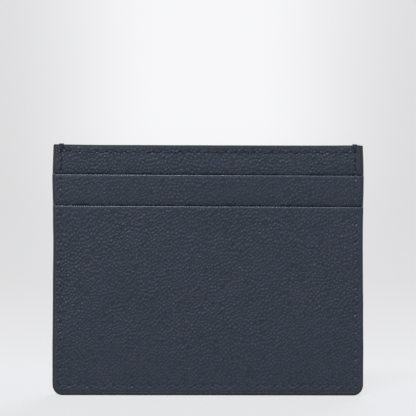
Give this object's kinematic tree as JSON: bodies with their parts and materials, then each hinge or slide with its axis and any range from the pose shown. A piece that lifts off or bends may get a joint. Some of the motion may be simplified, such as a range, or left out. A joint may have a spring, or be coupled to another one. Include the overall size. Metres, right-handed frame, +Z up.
{
  "type": "card holder",
  "caption": "Slim flat leather card holder with two card slots on each face, an open centre pocket, stitched seams and painted edges.",
  "frame": {"origin": "middle of the bottom edge, on the surface that it stands on", "axes": "+X along the width, to the right seen from the front; the front faces -Y; +Z up, towards the open edge"},
  "size_m": [0.1, 0.0054, 0.0809],
  "materials": {
    "leather": "navy pebble-grain leather, low sheen",
    "lining": "thin dark twill",
    "stiffener": "bonded board, matt",
    "thread": "waxed polyester thread, tone on tone",
    "edge_paint": "charcoal edge paint, burnished, satin"
  },
  "bodies": {
    "root": {"front_centre_lining": "lining", "front_body_stiffener": "stiffener", "front_body_panel": "leather", "front_top_seam_thread": "thread", "front_top_edge_paint": "edge_paint", "front_upper_slot_lining": "lining", "front_slot_stop_thread": "thread", "front_upper_mouth_tape": "lining", "front_upper_slot_panel": "leather", "front_upper_mouth_edge_paint": "edge_paint", "front_lower_pocket_lining": "lining", "front_lower_mouth_tape": "lining", "front_lower_pocket_panel": "leather", "front_lower_mouth_edge_paint": "edge_paint", "back_centre_lining": "lining", "back_body_stiffener": "stiffener", "back_body_panel": "leather", "back_top_seam_thread": "thread", "back_top_edge_paint": "edge_paint", "back_upper_slot_lining": "lining", "back_slot_stop_thread": "thread", "back_upper_mouth_tape": "lining", "back_upper_slot_panel": "leather", "back_upper_mouth_edge_paint": "edge_paint", "back_lower_pocket_lining": "lining", "back_lower_mouth_tape": "lining", "back_lower_pocket_panel": "leather", "back_lower_mouth_edge_paint": "edge_paint", "perimeter_seam_thread": "thread", "left_edge_paint": "edge_paint", "right_edge_paint": "edge_paint", "bottom_edge_paint": "edge_paint"}
  },
  "joints": []
}
